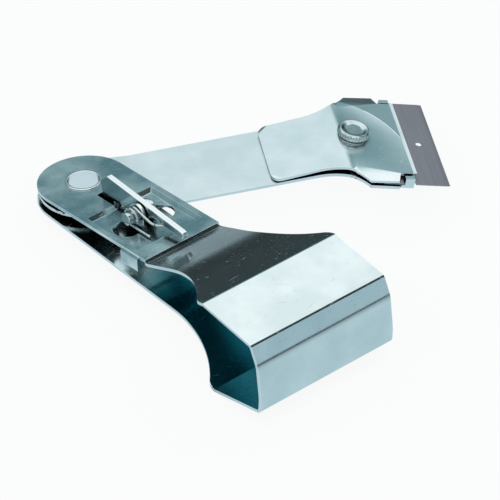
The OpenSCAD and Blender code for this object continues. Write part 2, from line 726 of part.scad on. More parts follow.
// Knurled head with a dished top, collar and plain shank
module thumb_screw() color(bright) on_screw() {
  shank_low = -arm_t - bush_h - shank_end;
  knob_z = collar_z + collar_h;
  translate([0, 0, shank_low]) cylinder(r = shank_r, h = collar_z - shank_low + seam);
  translate([0, 0, collar_z]) cylinder(r = collar_r, h = collar_h + seam);
  translate([0, 0, knob_z]) difference() {
    rotate_extrude() polygon([[0, 0], [knob_r - dish_h, 0], [knob_r, dish_h], [knob_r, knob_h - dish_h],
      [knob_r - dish_h, knob_h], [knob_r - 2 * dish_h, knob_h], [knob_r - 4 * dish_h, knob_h - dish_h],
      [0, knob_h - dish_h]]);
    for (i = [0 : knurl_n - 1]) rotate([0, 0, 360 * i / knurl_n])
      translate([knob_r + knurl_r / 3, 0, -seam]) cylinder(r = knurl_r, h = knob_h + 2 * seam);
  }
}

handle_strip();
lock_plate();
pivot_eyelet();
spacer_bush();
thrust_washer();
spring_washer();
latch_pin();
latch_spring();
latch_lever();
arm_plate();
screw_bush();
razor_blade();
blade_spine();
clamp_plate();
screw_washer();
thumb_screw();
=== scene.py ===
"""Looks of the folding razor blade scraper: plated sheet steel, bright hardware and a ground blade.

Lengths are in metres in the frame of the CAD model, unless a comment says millimetres. The eyelet's axis is
Z, the handle runs along +X and the blade arm stands open at the frame's stored angle.
"""
import json
import math

import bmesh
import bpy
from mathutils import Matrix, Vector


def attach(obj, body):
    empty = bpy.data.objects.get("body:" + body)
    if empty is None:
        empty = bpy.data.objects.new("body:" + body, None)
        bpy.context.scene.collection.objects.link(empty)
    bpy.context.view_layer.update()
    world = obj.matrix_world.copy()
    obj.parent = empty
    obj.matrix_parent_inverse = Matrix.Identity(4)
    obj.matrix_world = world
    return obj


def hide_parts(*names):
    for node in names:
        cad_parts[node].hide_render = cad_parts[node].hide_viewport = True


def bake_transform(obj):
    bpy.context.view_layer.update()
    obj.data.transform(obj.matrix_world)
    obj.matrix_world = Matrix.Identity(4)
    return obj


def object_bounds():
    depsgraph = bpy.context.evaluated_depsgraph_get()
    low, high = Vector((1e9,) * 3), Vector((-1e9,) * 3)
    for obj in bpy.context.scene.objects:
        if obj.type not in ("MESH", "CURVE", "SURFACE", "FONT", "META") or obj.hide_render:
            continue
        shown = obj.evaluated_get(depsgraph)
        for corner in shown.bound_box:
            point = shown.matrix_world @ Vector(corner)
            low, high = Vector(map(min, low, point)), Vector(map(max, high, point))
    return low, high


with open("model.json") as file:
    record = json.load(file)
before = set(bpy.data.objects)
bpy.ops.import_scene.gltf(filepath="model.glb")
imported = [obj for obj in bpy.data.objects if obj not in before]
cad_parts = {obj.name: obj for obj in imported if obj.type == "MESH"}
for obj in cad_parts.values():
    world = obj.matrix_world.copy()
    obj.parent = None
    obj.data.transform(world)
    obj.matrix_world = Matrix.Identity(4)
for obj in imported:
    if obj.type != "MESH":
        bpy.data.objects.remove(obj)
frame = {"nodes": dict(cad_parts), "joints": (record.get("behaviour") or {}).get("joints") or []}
CAD_BOX = [list(corner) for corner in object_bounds()]
NODES = frame["nodes"]
JOINTS = {joint["name"]: joint for joint in frame["joints"]}
MM = 0.001

# Camera: where the photograph was taken from, fitted to the edges of the handle and the arm. Angles are in
# degrees and the lens in millimetres
VIEW_AZIMUTH = -40.32
VIEW_ELEVATION = 37.81
VIEW_DISTANCE = 1.072
VIEW_TARGET = Vector((0.0467, 0.0195, 0))
VIEW_LENS = 288.8
VIEW_END = 10

# Places on the object
ARM_OPEN = math.degrees(math.atan2(JOINTS["screw_turn"]["pos_m"][1], JOINTS["screw_turn"]["pos_m"][0]))
SCREW_AT = Vector(JOINTS["screw_turn"]["pos_m"])
PIN_AT = Vector(JOINTS["latch_press"]["pos_m"])
FLOOR_Z = CAD_BOX[0][2]

# Broken edges of the pieces, and the corner from which an edge is broken
SHEET_EDGE = 0.12 * MM
HARDWARE_EDGE = 0.1 * MM
BLADE_EDGE = 0.02 * MM
EDGE_ANGLE = math.radians(32)
WELD_GAP = 0.002 * MM
FLAT_WEIGHT = 80

# Finishes: how far into the sheet folds and gaps between pieces the painted shade reaches, the width of the
# white highlight painted along the edges, the width over which the hardware's grooves are darkened, and the
# depth of rolling, turning and grinding lines
FOLD_SHADE_REACH = 45 * MM
GAP_SHADE_REACH = 7 * MM
EDGE_HIGHLIGHT_W = 0.5 * MM
GROOVE_W = 0.9 * MM
ROLLED_DEPTH = 0.006 * MM
TURNED_DEPTH = 0.004 * MM
GROUND_DEPTH = 0.006 * MM

# Pressing of the clamp head, which starts at its bend behind the screw. The dish's middle lies back from the
# screw and to one side. The dish falls away from its start and rises to the arc; falls and rises are slopes
ARM_WAY = Vector((math.cos(math.radians(ARM_OPEN)), math.sin(math.radians(ARM_OPEN)), 0))
ARM_LEFT = Vector((-ARM_WAY.y, ARM_WAY.x, 0))
HEAD_UP = Vector(JOINTS["screw_turn"]["axis"])
HEAD_WAY = ARM_LEFT.cross(HEAD_UP)
HEAD_BACK = 2.35 * MM
HEAD_AT = SCREW_AT.xy.length - HEAD_BACK
HEAD_EASE = 0.3 * MM
DISH_BACK = 12.2 * MM
DISH_SIDE = 7.5 * MM
DISH_START = 9.5 * MM
DISH_R = 27.3 * MM
DISH_FALL = 0.12
DISH_RISE = 0.07

# Raised line of the arc: how far to each side it runs, its wire, and how deep that lies in the head
ARC_WIDE = 13.2 * MM
ARC_R = 0.3 * MM
ARC_SUNK = 0.22 * MM
ARC_STEPS = 120
ARC_SIDES = 12

# Turned up lip of the clamp. Its outline goes along the head from the front edge, and up from the head's face
LIP_W = 0.98 * MM
LIP_RISE = 0.25 * MM
LIP_INSET = 0.08 * MM
LIP_SUNK = 0.3 * MM
LIP_SEAM = 0.02 * MM
LIP_NEAR = 0.05 * MM
LIP_PROFILE = ((-LIP_W, -LIP_SEAM), (-LIP_INSET, LIP_RISE), (-LIP_INSET, -LIP_SUNK), (-LIP_W, -LIP_SUNK))

# Latch spring, in millimetres and degrees, as in the part's source
WIRE_R = 0.35
WIRE_SIDES = 14
SPRING_R = 2.2
SPRING_PITCH = 1.15
SPRING_SWEEP = 540
SPRING_STEPS = 48
SPRING_Y = -2.7
PIN_H = 3.1
PLATE_TILT = 5.5
LEVER_T = 1.6
LEVER_TOP = 3.25
LEVER_DIP = 0.35
THUMB_H = 2
LEG_LEN = 8.4
LEG_BEND = 1.6
LEG_CLEAR = 0.15
LEG_U = PIN_AT.x / MM + LEG_LEN
LEG_SLOPE = math.tan(math.radians(PLATE_TILT))
LEG_Z = PIN_AT.z / MM - PIN_H + LEG_LEN * LEG_SLOPE + WIRE_R + LEG_CLEAR
HOOK_Z = PIN_AT.z / MM + LEVER_TOP - THUMB_H - LEVER_DIP - WIRE_R
BEND_STEPS = 6

# Floor: how white it is to the camera, and in the metal's first reflections its tint and how that fades with
# distance, later towards the azimuth of the fade than away from it
FLOOR_R = 1.2
FLOOR_CORNERS = 128
FLOOR_WHITE = 0.92
FLOOR_TINT = "#cfe6ee"
FADE_START = 0.12
FADE_END = 0.34
FADE_NEAR = 0.86
FADE_FAR = 0.02
FADE_LEAN = 0.62
FADE_AZIMUTH = 149
FIRST_MIRROR = 2.5

# Studio tent: its colour by the sine of the elevation, and its lowest colour on the camera's side. The side
# is told by how far a direction points behind the tool
TENT = {0.0: "#23292b", 0.17: "#2b3133", 0.3: "#4a575a", 0.48: "#739aa0", 0.525: "#6c8b92", 0.575: "#b4d0d5",
        0.63: "#eef9fc", 0.72: "#fdffff", 0.8: "#f0f7f8", 0.9: "#ccd8db", 1.0: "#bdcbcf"}
TENT_STRENGTH = 1.1
TENT_FRONT = "#a3b6ba"
FRONT_START = 0.35
FRONT_FULL = -0.05

# Screen and card in the tent: azimuth and elevation of the middle, outer and inner radius in degrees, sine of
# the elevation of the foot, and colour
SCREEN = (44, 42, 17, 13, -1.0, "#161d20")
CARD = (20, 9, 24, 15, 0.0, "#a6bec7")
FOOT_EASE = 0.03

# Soft box over the tool, in watts and metres, from the camera's target
LAMP_POWER = 0.6
LAMP_SIZE = 0.7
LAMP_OFF = Vector((-0.05, 0.1, 0.9))


def add_node(tree, kind, inputs=None, **settings):
    """Adds a node with its settings. An input that is another node's output is linked."""
    node = tree.nodes.new(kind)
    for name, value in settings.items():
        setattr(node, name, value)
    for name, value in (inputs or {}).items():
        if isinstance(value, bpy.types.NodeSocket):
            tree.links.new(value, node.inputs[name])
        else:
            node.inputs[name].default_value = value
    return node


def paint(hex_colour):
    """Linear RGBA of an sRGB hex colour."""
    channels = [int(hex_colour[i:i + 2], 16) / 255 for i in (1, 3, 5)]
    return [c / 12.92 if c <= 0.04045 else ((c + 0.055) / 1.055) ** 2.4 for c in channels] + [1.0]


def per(size_mm):
    """Texture scale at which one pattern cell is this many millimetres long."""
    return 1 / (size_mm * MM)


def towards(azimuth, elevation):
    """Unit vector towards an azimuth and elevation in degrees."""
    turn, rise = math.radians(azimuth), math.radians(elevation)
    return Vector((math.cos(rise) * math.cos(turn), math.cos(rise) * math.sin(turn), math.sin(rise)))


def new_material(name):
    """Empty node material with its shader, and the object's own coordinates."""
    material = bpy.data.materials.new(name)
    material.use_nodes = True
    tree = material.node_tree
    shader = tree.nodes["Principled BSDF"]
    place = add_node(tree, "ShaderNodeTexCoord").outputs["Object"]
    return material, tree, shader, place


def dress_metal(tree, shader, colour, rough, normal):
    """Makes a shader bare metal with this colour, roughness and normal."""
    tree.links.new(colour, shader.inputs["Base Color"])
    tree.links.new(rough, shader.inputs["Roughness"])
    tree.links.new(normal, shader.inputs["Normal"])
    shader.inputs["Metallic"].default_value = 1.0


def turned_place(tree, place, heading):
    """Coordinates turned in the plan, so that their X runs along a heading in degrees."""
    return add_node(tree, "ShaderNodeMapping", {
        "Vector": place, "Rotation": (0, 0, -math.radians(heading))}).outputs["Vector"]


def streaks(tree, place, heading, long_mm, wide_mm):
    """Noise drawn out along a heading in the plan, in degrees: the lines that rolling or grinding leaves."""
    drawn = add_node(tree, "ShaderNodeMapping", {"Vector": turned_place(tree, place, heading),
                                                 "Scale": (per(long_mm), per(wide_mm), per(wide_mm))})
    noise = add_node(tree, "ShaderNodeTexNoise", {"Vector": drawn.outputs["Vector"], "Scale": 1.0,
                                                  "Detail": 4.0, "Roughness": 0.6})
    return noise.outputs["Fac"]


def scratches(tree, place, heading, long_mm, apart_mm, share):
    """Thin short scratches along a heading, 1 on the scratch and 0 off it. They waver by up to 2.5 mm over
    14 mm and show in patches of 9 mm. share is how much shows."""
    bent = add_node(tree, "ShaderNodeTexNoise", {"Vector": place, "Scale": per(14)})
    shifted = add_node(tree, "ShaderNodeVectorMath", {0: bent.outputs["Color"], "Scale": 2.5 * MM},
                       operation="SCALE")
    wavy = add_node(tree, "ShaderNodeVectorMath", {0: turned_place(tree, place, heading),
                                                   1: shifted.outputs["Vector"]})
    drawn = add_node(tree, "ShaderNodeMapping", {"Vector": wavy.outputs["Vector"],
                                                 "Scale": (per(long_mm), per(apart_mm), per(apart_mm))})
    cells = add_node(tree, "ShaderNodeTexVoronoi", {"Vector": drawn.outputs["Vector"], "Scale": 1.0})
    line = add_node(tree, "ShaderNodeMapRange", {"Value": cells.outputs["Distance"], "From Min": 0.13,
                                                 "From Max": 0.05})
    patch = add_node(tree, "ShaderNodeTexNoise", {"Vector": place, "Scale": per(9), "Detail": 2.0})
    shown = add_node(tree, "ShaderNodeMapRange", {"Value": patch.outputs["Fac"], "From Min": 1 - share,
                                                  "From Max": 1.08 - share})
    return add_node(tree, "ShaderNodeMath", {0: line.outputs["Result"], 1: shown.outputs["Result"]},
                    operation="MULTIPLY").outputs["Value"]


def bright_zinc(name, heading, light, shade, gloss, wear, folds=("#4f9fa9", "#04090a"), top_highlight=None):
    """Bright zinc on rolled sheet steel: a bluish mirror, softened along the rolling lines, with cloudy
    patches of about 11 mm, painted shade of dark teal deep in the sheet's own folds and of near black in
    narrow gaps, handling scratches that catch the light, and a white painted highlight along the edges. The
    rolling lines are 0.05 mm apart on the sheet and drawn 0.4 mm wide, so that they show. heading is the way
    of rolling, wear how much of the sheet has scratches, folds the painted shade colours in open folds and in
    narrow gaps, and the last argument the colour painted on upward faces as a painted highlight."""
    material, tree, shader, place = new_material(name)
    lines = streaks(tree, place, heading, 26, 0.4)
    clouds = add_node(tree, "ShaderNodeTexNoise", {"Vector": place, "Scale": per(11), "Detail": 3.0})
    rubs = scratches(tree, place, heading + 58, 34, 0.9, wear)
    nicks = scratches(tree, place, heading - 77, 26, 0.8, wear - 0.04)
    scuffs = scratches(tree, place, heading + 14, 6, 0.42, wear - 0.05)
    crossed = add_node(tree, "ShaderNodeMath", {0: rubs, 1: nicks}, operation="MAXIMUM").outputs["Value"]
    marks = add_node(tree, "ShaderNodeMath", {0: crossed, 1: scuffs}, operation="MAXIMUM").outputs["Value"]
    patches = add_node(tree, "ShaderNodeMapRange", {"Value": clouds.outputs["Fac"], "From Min": 0.36,
                                                    "From Max": 0.64})
    colour = add_node(tree, "ShaderNodeMix", {"Factor": patches.outputs["Result"], "A": paint(light),
                                              "B": paint(shade)}, data_type="RGBA")
    # Painted shade: an occlusion mask darkens the sheet to the first fold colour deep in its own folds, and
    # to the second, near black, in narrow gaps between pieces.
    depth = add_node(tree, "ShaderNodeAmbientOcclusion", {"Distance": FOLD_SHADE_REACH}, samples=8, only_local=True)
    fold_shade = add_node(tree, "ShaderNodeMapRange", {"Value": depth.outputs["AO"], "From Min": 0.45,
                                                   "From Max": 0.88})
    cover = add_node(tree, "ShaderNodeAmbientOcclusion", {"Distance": GAP_SHADE_REACH}, samples=8)
    gap_shade = add_node(tree, "ShaderNodeMapRange", {"Value": cover.outputs["AO"], "From Min": 0.22,
                                                    "From Max": 0.7})
    fold_shaded = add_node(tree, "ShaderNodeMix", {"Factor": fold_shade.outputs["Result"], "A": paint(folds[0]),
                                              "B": colour.outputs["Result"]}, data_type="RGBA")
    gap_shaded = add_node(tree, "ShaderNodeMix", {"Factor": gap_shade.outputs["Result"], "A": paint(folds[1]),
                                              "B": fold_shaded.outputs["Result"]}, data_type="RGBA")
    # Painted highlight: white is painted along the sheet's edges, where the bevelled normal turns away from
    # the face's.
    rounded = add_node(tree, "ShaderNodeBevel", {"Radius": EDGE_HIGHLIGHT_W}, samples=6)
    true_way = add_node(tree, "ShaderNodeNewGeometry").outputs["Normal"]
    even = add_node(tree, "ShaderNodeVectorMath", {0: rounded.outputs["Normal"], 1: true_way},
                    operation="DOT_PRODUCT")
    rim = add_node(tree, "ShaderNodeMapRange", {"Value": even.outputs["Value"], "From Min": 0.99,
                                                "From Max": 0.9})
    edge_highlit = add_node(tree, "ShaderNodeMix", {"Factor": rim.outputs["Result"], "A": gap_shaded.outputs["Result"],
                                            "B": paint("#ffffff")}, data_type="RGBA")
    finished = edge_highlit.outputs["Result"]
    # Painted highlight: faces that point upwards are painted towards this colour.
    if top_highlight:
        up = add_node(tree, "ShaderNodeSeparateXYZ", {"Vector": true_way}).outputs["Z"]
        upper = add_node(tree, "ShaderNodeMapRange", {"Value": up, "From Min": 0.6, "From Max": 0.8})
        finished = add_node(tree, "ShaderNodeMix", {"Factor": upper.outputs["Result"], "A": finished,
                                                    "B": paint(top_highlight)}, data_type="RGBA").outputs["Result"]
    drawn = add_node(tree, "ShaderNodeMapRange", {"Value": lines, "To Min": gloss - 0.05,
                                                  "To Max": gloss + 0.05})
    patchy = add_node(tree, "ShaderNodeMath", {0: clouds.outputs["Fac"], 1: 0.08, 2: drawn.outputs["Result"]},
                      operation="MULTIPLY_ADD")
    rough = add_node(tree, "ShaderNodeMath", {0: marks, 1: 0.3, 2: patchy.outputs["Value"]},
                     operation="MULTIPLY_ADD")
    height = add_node(tree, "ShaderNodeMath", {0: marks, 1: -0.8, 2: lines}, operation="MULTIPLY_ADD")
    bump = add_node(tree, "ShaderNodeBump", {"Height": height.outputs["Value"], "Strength": 0.25,
                                             "Distance": ROLLED_DEPTH}, name="fine_marks")
    dress_metal(tree, shader, finished, rough.outputs["Value"], bump.outputs["Normal"])
    return material


def press_clamp_head(material):
    """Adds the pressing of the clamp head to its finish: a shallow dish that tips up to an arc round a
    middle on the shank and is flat beyond it. The shank behind the screw stays flat."""
    tree = material.node_tree
    place = add_node(tree, "ShaderNodeTexCoord").outputs["Object"]
    along = add_node(tree, "ShaderNodeVectorMath", {0: place, 1: ARM_WAY}, operation="DOT_PRODUCT")
    apart = add_node(tree, "ShaderNodeMapping", {"Vector": turned_place(tree, place, ARM_OPEN),
                                                 "Location": (DISH_BACK - SCREW_AT.xy.length, DISH_SIDE, 0),
                                                 "Scale": (1, 1, 0)})
    away = add_node(tree, "ShaderNodeVectorMath", {0: apart.outputs["Vector"]}, operation="LENGTH")
    inside = add_node(tree, "ShaderNodeMapRange", {"Value": away.outputs["Value"], "From Min": DISH_START,
                                                   "From Max": DISH_R}).outputs["Result"]
    bent = add_node(tree, "ShaderNodeMath", {0: inside, 1: (DISH_RISE + DISH_FALL) / 2, 2: -DISH_FALL},
                    operation="MULTIPLY_ADD")
    deep = add_node(tree, "ShaderNodeMath", {0: bent.outputs["Value"], 1: inside}, operation="MULTIPLY")
    dish = add_node(tree, "ShaderNodeMath", {0: deep.outputs["Value"], 1: DISH_R - DISH_START},
                    operation="MULTIPLY")
    head = add_node(tree, "ShaderNodeMapRange", {"Value": along.outputs["Value"], "From Min": HEAD_AT,
                                                 "From Max": HEAD_AT + HEAD_EASE})
    bump = add_node(tree, "ShaderNodeBump", {"Height": dish.outputs["Value"], "Distance": 1.0,
                                             "Strength": head.outputs["Result"]})
    tree.links.new(bump.outputs["Normal"], tree.nodes["fine_marks"].inputs["Normal"])


def bright_nickel(name, middle, axis_tilt):
    """Bright nickel on turned steel: a warmer, clearer mirror than the zinc, with fine rings left by the
    tool round the piece's own axis and darker colour deep in its grooves. The rings are 0.08 mm apart and
    drawn at
    0.35 mm, so that they show."""
    material, tree, shader, place = new_material(name)
    centred = add_node(tree, "ShaderNodeMapping", {"Vector": place, "Location": -middle})
    upright = add_node(tree, "ShaderNodeMapping", {"Vector": centred.outputs["Vector"],
                                                   "Rotation": axis_tilt})
    rings = add_node(tree, "ShaderNodeTexWave", {"Vector": upright.outputs["Vector"], "Scale": per(0.35) / 20,
                                                 "Distortion": 0.6, "Detail": 2.0},
                     wave_type="RINGS", rings_direction="Z")
    clouds = add_node(tree, "ShaderNodeTexNoise", {"Vector": place, "Scale": per(2.5), "Detail": 3.0})
    colour = add_node(tree, "ShaderNodeMix", {"Factor": clouds.outputs["Fac"], "A": paint("#e4ebeb"),
                                              "B": paint("#c9d3d3")}, data_type="RGBA")
    # Darker colour deep in the grooves, by an occlusion mask.
    groove = add_node(tree, "ShaderNodeAmbientOcclusion", {"Distance": GROOVE_W}, samples=8, only_local=True)
    clear = add_node(tree, "ShaderNodeMapRange", {"Value": groove.outputs["AO"], "From Min": 0.35,
                                                  "From Max": 0.85})
    shaded = add_node(tree, "ShaderNodeMix", {"Factor": clear.outputs["Result"], "A": paint("#172123"),
                                              "B": colour.outputs["Result"]}, data_type="RGBA")
    turned = add_node(tree, "ShaderNodeMapRange", {"Value": rings.outputs["Fac"], "To Min": 0.13,
                                                   "To Max": 0.2})
    rough = add_node(tree, "ShaderNodeMath", {0: clouds.outputs["Fac"], 1: 0.1, 2: turned.outputs["Result"]},
                     operation="MULTIPLY_ADD")
    bump = add_node(tree, "ShaderNodeBump", {"Height": rings.outputs["Fac"], "Strength": 0.2,
                                             "Distance": TURNED_DEPTH})
    dress_metal(tree, shader, shaded.outputs["Result"], rough.outputs["Value"], bump.outputs["Normal"])
    return material


def ground_blade_steel():
    """Carbon steel ground along the edge: dull grey, darker than the plating, with grinding lines that run
    the length of the blade. They are 0.03 mm apart and drawn 0.5 mm wide, so that they show."""
    material, tree, shader, place = new_material("ground_blade_steel")
    lines = streaks(tree, place, ARM_OPEN + 90, 30, 0.5)
    clouds = add_node(tree, "ShaderNodeTexNoise", {"Vector": place, "Scale": per(7), "Detail": 3.0})
    colour = add_node(tree, "ShaderNodeMix", {"Factor": lines, "A": paint("#9b969c"), "B": paint("#c1bbc2")},
                      data_type="RGBA")
    drawn = add_node(tree, "ShaderNodeMapRange", {"Value": lines, "To Min": 0.34, "To Max": 0.46})
    rough = add_node(tree, "ShaderNodeMath", {0: clouds.outputs["Fac"], 1: 0.08, 2: drawn.outputs["Result"]},
                     operation="MULTIPLY_ADD")
    bump = add_node(tree, "ShaderNodeBump", {"Height": lines, "Strength": 0.3, "Distance": GROUND_DEPTH})
    dress_metal(tree, shader, colour.outputs["Result"], rough.outputs["Value"], bump.outputs["Normal"])
    return material


def finish_node(name, material, edge):
    """Gives a CAD node its material and broken edges that catch the light."""
    piece = NODES[name]
    piece.data.materials.clear()
    piece.data.materials.append(material)
    weld = piece.modifiers.new("weld", "WELD")
    weld.merge_threshold = WELD_GAP
    bevel = piece.modifiers.new("broken_edge", "BEVEL")
    bevel.width = edge
    bevel.segments = 2
    bevel.limit_method = "ANGLE"
    bevel.angle_limit = EDGE_ANGLE
    smooth = piece.modifiers.new("flat_faces", "WEIGHTED_NORMAL")
    smooth.weight = FLAT_WEIGHT


def dress_pieces():
    """Materials of the CAD nodes. Returns the nickel of the latch and the zinc of the arm, which other pieces
    take too."""
    handle = bright_zinc("bright_zinc_handle_strip", 0, "#e6f0f1", "#d8e5e7", 0.12, 0.64)
    plate = bright_zinc("bright_zinc_lock_plate", 0, "#ffffff", "#a4bcc3", 0.16, 0.58)
    arm = bright_zinc("bright_zinc_arm", ARM_OPEN, "#f1f7f8", "#e4eef0", 0.2, 0.46)
    clamp = bright_zinc("bright_zinc_clamp", ARM_OPEN, "#f0f6f7", "#e2ecee", 0.16, 0.46)
    press_clamp_head(clamp)
    # The lever's zinc has a darker base than the other zinc, painted shade that shows on its sides, and white
    # painted on its upward faces as a painted highlight.
    lever = bright_zinc("bright_zinc_lever", 0, "#a9c0c4", "#98b1b5", 0.18, 0.4, top_highlight="#ffffff")
    # The eyelet's fold colours are white, so it takes no painted shade.
    eyelet = bright_zinc("bright_zinc_eyelet", 0, "#fdfefe", "#f4f8f8", 0.14, 0.3,
                         folds=("#ffffff", "#ffffff"))
    pivot = bright_nickel("bright_nickel_pivot", Vector((0, 0, 0)), (0, 0, 0))
    latch = bright_nickel("bright_nickel_latch", PIN_AT, (math.radians(90), 0, 0))
    screw = bright_nickel("bright_nickel_screw", SCREW_AT, (0, 0, 0))
    blade = ground_blade_steel()
    finishes = {
        "handle_strip": (handle, SHEET_EDGE), "lock_plate": (plate, SHEET_EDGE),
        "pivot_eyelet": (eyelet, SHEET_EDGE), "spacer_bush": (pivot, HARDWARE_EDGE),
        "thrust_washer": (pivot, HARDWARE_EDGE / 2), "spring_washer": (pivot, HARDWARE_EDGE / 2),
        "latch_pin": (latch, HARDWARE_EDGE), "latch_lever": (lever, SHEET_EDGE),
        "arm_plate": (arm, SHEET_EDGE), "screw_bush": (screw, HARDWARE_EDGE),
        "razor_blade": (blade, BLADE_EDGE), "blade_spine": (arm, SHEET_EDGE / 2),
        "clamp_plate": (clamp, 2 * SHEET_EDGE), "screw_washer": (screw, HARDWARE_EDGE / 2),
        "thumb_screw": (screw, HARDWARE_EDGE),
    }
    for name, (material, edge) in finishes.items():
        finish_node(name, material, edge)
    return latch, arm


def new_piece(name, bm):
    """Object made of a finished mesh, with its faces turned outwards."""
    bmesh.ops.recalc_face_normals(bm, faces=bm.faces)
    mesh = bpy.data.meshes.new(name)
    bm.to_mesh(mesh)
    bm.free()
    piece = bpy.data.objects.new(name, mesh)
    bpy.context.scene.collection.objects.link(piece)
    return piece


def spring_route():
    """Middle line of the latch spring's wire, in metres, with sharp corners: the hooked upper leg under the
    lever's thumb bar, the curls round the pin, and the lower leg on the channel's floor."""
    pin_u, pin_z = PIN_AT.x / MM, PIN_AT.z / MM
    curls = []
    for step in range(SPRING_STEPS + 1):
        turn = SPRING_SWEEP * step / SPRING_STEPS
        angle = math.radians(90 + turn)
        curls.append((pin_u + SPRING_R * math.cos(angle), SPRING_Y - SPRING_PITCH * turn / 360,
                      pin_z + SPRING_R * math.sin(angle)))
    end_y = curls[-1][1]
    upper = [(LEG_U + LEG_BEND, LEVER_T, HOOK_Z), (LEG_U + LEG_BEND, LEVER_T / 2, HOOK_Z),
             (LEG_U, -LEVER_T, HOOK_Z), (LEG_U - LEG_BEND, SPRING_Y + WIRE_R, HOOK_Z)]
    lower = [(LEG_U - LEG_BEND, end_y, LEG_Z), (LEG_U, end_y, LEG_Z + LEG_BEND * LEG_SLOPE)]
    return [Vector(point) * MM for point in upper + curls + lower]


def rounded_route(points, bends):
    """Route with some corners eased by a curve. bends gives, by a corner's number, how far before and after
    the corner its curve reaches."""
    route = []
    for i, point in enumerate(points):
        if i not in bends:
            route.append(point)
            continue
        before = point.lerp(points[i - 1], bends[i] / (points[i - 1] - point).length)
        after = point.lerp(points[i + 1], bends[i] / (points[i + 1] - point).length)
        for step in range(BEND_STEPS + 1):
            share = step / BEND_STEPS
            route.append(before.lerp(point, share).lerp(point.lerp(after, share), share))
    return route


def wire_mesh(name, route, radius, sides):
    """Round wire along a route, each ring carried on from the last without twist, with ends domed by half
    the radius."""
    bm = bmesh.new()
    way = (route[1] - route[0]).normalized()
    side = way.orthogonal().normalized()
    rings = []
    last = len(route) - 1
    for i, point in enumerate(route):
        new_way = (route[min(i + 1, last)] - route[max(i - 1, 0)]).normalized()
        side = way.rotation_difference(new_way) @ side
        way = new_way
        third = way.cross(side)
        rings.append([bm.verts.new(point + radius * (math.cos(a) * side + math.sin(a) * third))
                      for a in (2 * math.pi * k / sides for k in range(sides))])
    for a, b in zip(rings, rings[1:]):
        for k in range(sides):
            bm.faces.new((a[k], a[(k + 1) % sides], b[(k + 1) % sides], b[k]))
    for ring, point, out in ((rings[0], route[0], route[0] - route[1]),
                             (rings[-1], route[-1], route[-1] - route[-2])):
        tip = bm.verts.new(point + 0.5 * radius * out.normalized())
        for k in range(sides):
            bm.faces.new((ring[k], ring[(k + 1) % sides], tip))
    for face in bm.faces:
        face.smooth = True
    return new_piece(name, bm)


def latch_spring_wire(material):
    """Torsion spring of the latch, built in the frame and attached to no body: its upper leg hooks under the
    lever, its curls and lower leg lie on the handle.
    """
    points = spring_route()
    last = len(points) - 1
    bends = {1: 0.35 * MM, 2: 0.9 * MM, 3: 0.9 * MM, 4: 0.6 * MM, last - 2: 0.4 * MM, last - 1: 0.6 * MM}
    wire = wire_mesh("latch_spring_wire", rounded_route(points, bends), WIRE_R * MM, WIRE_SIDES)
    wire.data.materials.append(material)
    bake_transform(wire)
    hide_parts("latch_spring")


def turned_lip(near, far):
    """Strip along the clamp's front edge that turns up until it lies about level, from the edge's near corner
    to its far one."""
    bm = bmesh.new()
    ends = [[bm.verts.new(corner + along * HEAD_WAY + up * HEAD_UP) for along, up in LIP_PROFILE]
            for corner in (near, far)]
    bm.faces.new(ends[0])
    bm.faces.new(reversed(ends[1]))
    for k in range(len(LIP_PROFILE)):
        bm.faces.new((ends[0][k - 1], ends[0][k], ends[1][k], ends[1][k - 1]))
    return new_piece("clamp_turned_lip", bm)


def clamp_head_pressing(material):
    """Turned up lip of the clamp, and the fine raised line of its pressed arc. Both go with the clamp."""
    corners = [corner.co for corner in NODES["clamp_plate"].data.vertices]
    lip = max(ARM_WAY.dot(corner) for corner in corners)
    front = [corner for corner in corners if ARM_WAY.dot(corner) > lip - LIP_NEAR]
    top = max(corner.z for corner in front)
    edge = sorted((corner for corner in front if corner.z > top - LIP_NEAR), key=ARM_LEFT.dot)
    route = []
    for step in range(ARC_STEPS + 1):
        turn = math.radians(90 - 180 * step / ARC_STEPS)
        along = SCREW_AT.xy.length - DISH_BACK + DISH_R * math.cos(turn)
        left = DISH_R * math.sin(turn) - DISH_SIDE
        if abs(left) < ARC_WIDE and HEAD_AT < along < lip - LIP_W:
            flat = along * ARM_WAY + left * ARM_LEFT
            rise = HEAD_UP.dot(edge[0] - flat) / HEAD_UP.z
            route.append(flat + Vector((0, 0, rise)) - ARC_SUNK * HEAD_UP)
    for piece in (turned_lip(edge[0], edge[-1]), wire_mesh("clamp_head_arc", route, ARC_R, ARC_SIDES)):
        piece.data.materials.append(material)
        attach(piece, "clamp")


